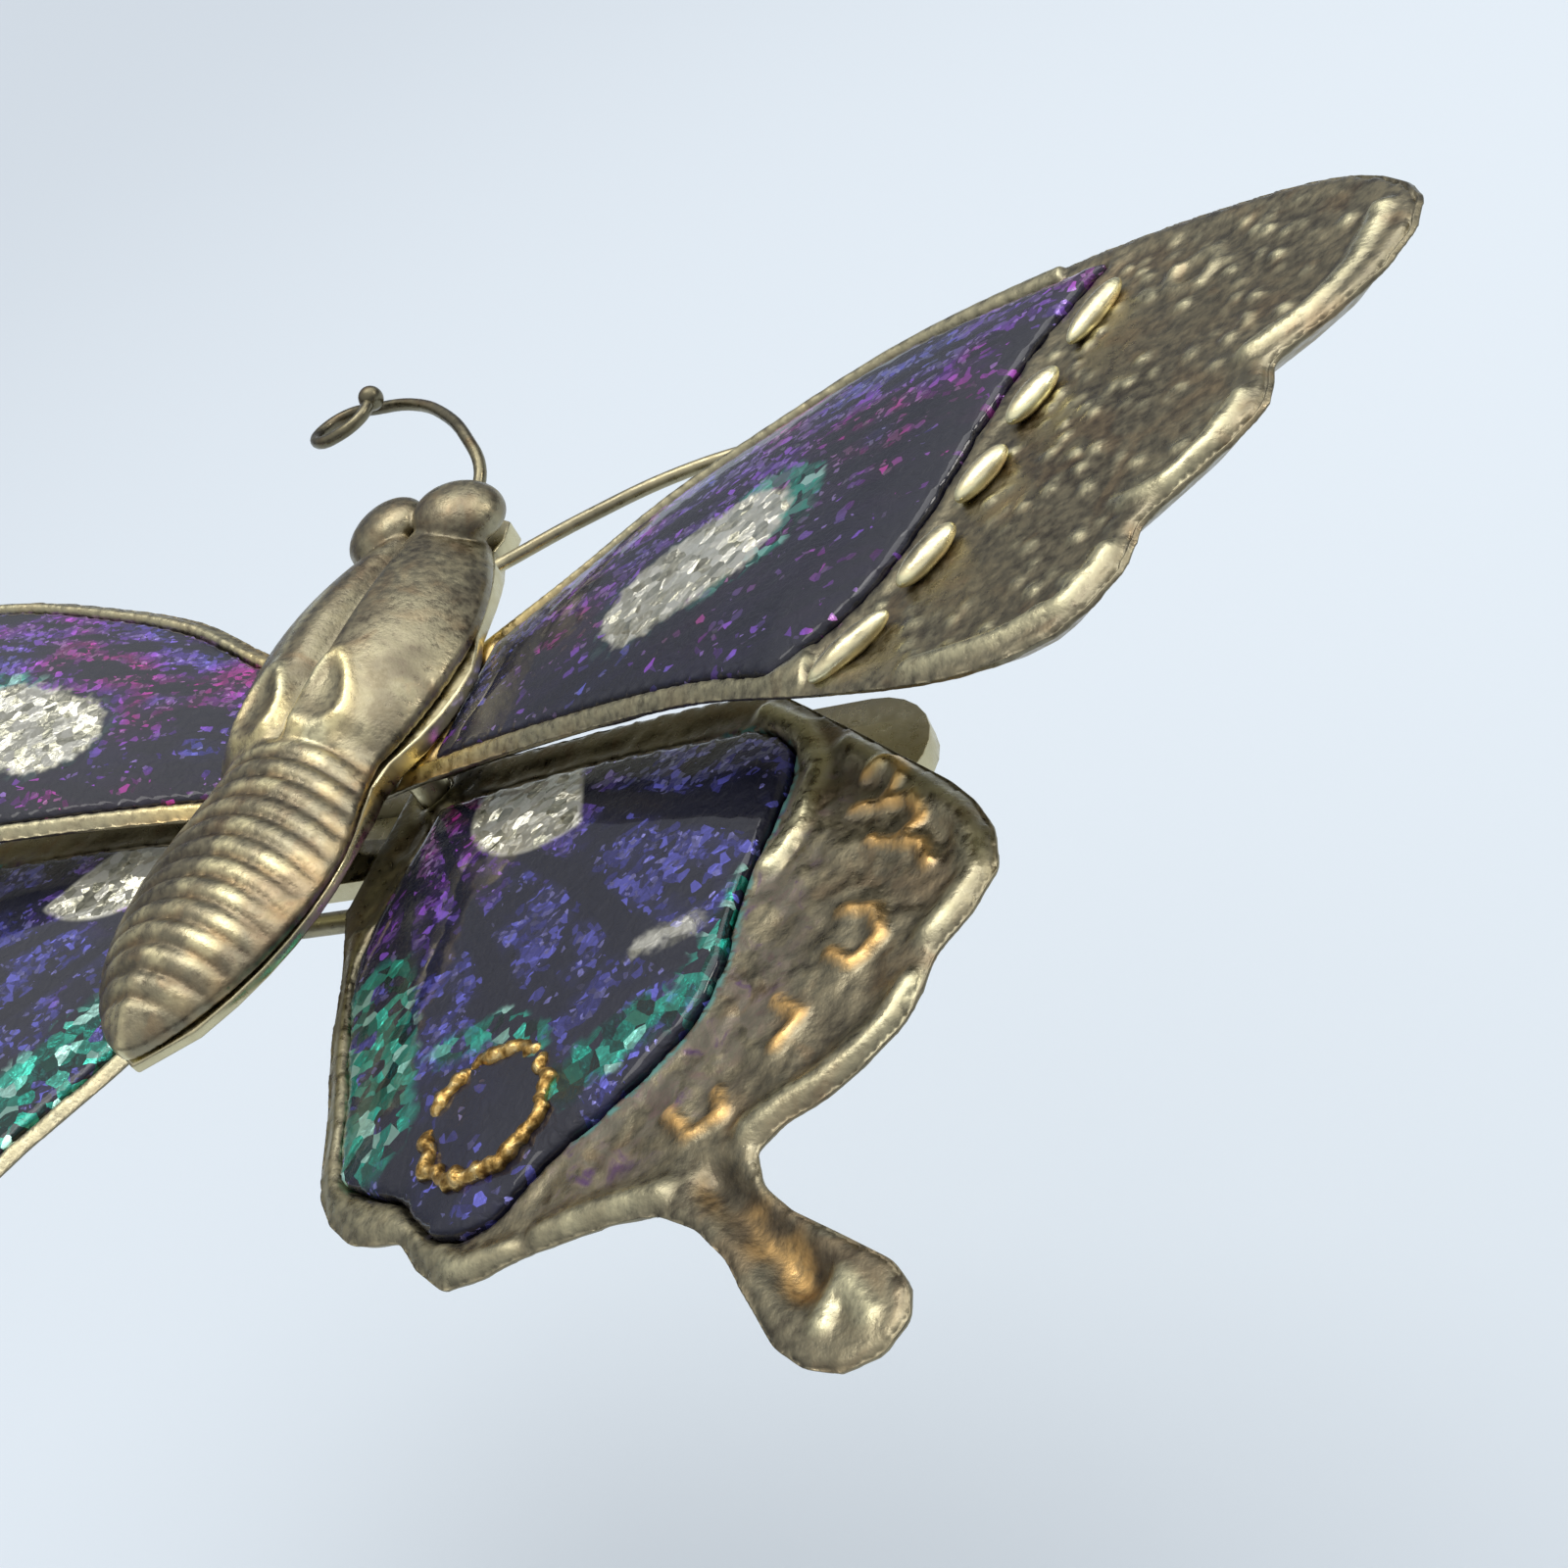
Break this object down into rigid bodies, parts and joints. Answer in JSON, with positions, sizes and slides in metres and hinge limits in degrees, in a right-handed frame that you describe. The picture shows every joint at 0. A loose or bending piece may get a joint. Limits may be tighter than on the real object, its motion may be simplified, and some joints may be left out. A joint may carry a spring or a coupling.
{
  "type": "decorative hair pin",
  "caption": "Butterfly hair pin: enamelled brass wings and a ringed cast body on a flat back bar with a hinged pin and a turning safety catch.",
  "frame": {"origin": "centre of the back bar's flat underside", "axes": "+X towards the right wing tip, +Y towards the head, +Z out of the decorated face"},
  "size_m": [0.067, 0.0376, 0.0163],
  "materials": {
    "aged_brass": "aged, satin, darker in the recesses",
    "indigo_enamel": "glossy, dark indigo with fine flakes",
    "pin_wire": "drawn wire, dull"
  },
  "bodies": {
    "frame": {"forewing_left": "aged_brass", "forewing_right": "aged_brass", "hindwing_left": "aged_brass", "hindwing_right": "aged_brass", "forewing_enamel_left": "indigo_enamel", "forewing_enamel_right": "indigo_enamel", "hindwing_enamel_left": "indigo_enamel", "hindwing_enamel_right": "indigo_enamel", "hindwing_ring_left": "aged_brass", "hindwing_ring_right": "aged_brass", "body_shell": "aged_brass", "body_base": "aged_brass", "antenna_left": "pin_wire", "antenna_right": "pin_wire", "back_bar": "aged_brass", "wing_rivet_left": "aged_brass", "wing_rivet_right": "aged_brass", "wing_post_left": "aged_brass", "wing_post_right": "aged_brass", "hinge_bracket": "aged_brass", "hinge_rivet": "aged_brass", "catch_base": "aged_brass"},
    "pin": {"pin_stem": "pin_wire"},
    "collar": {"catch_collar": "pin_wire"}
  },
  "joints": [
    {"name": "pin_hinge", "type": "hinge", "parent": "frame", "child": "pin", "pos_m": [-0.0164, 0, -0.0031], "axis": [0, 1, 0], "range_deg": [0, 95]},
    {"name": "catch_turn", "type": "hinge", "parent": "frame", "child": "collar", "pos_m": [0.0156, 0, -0.0031], "axis": [1, 0, 0], "range_deg": [0, 90]}
  ]
}
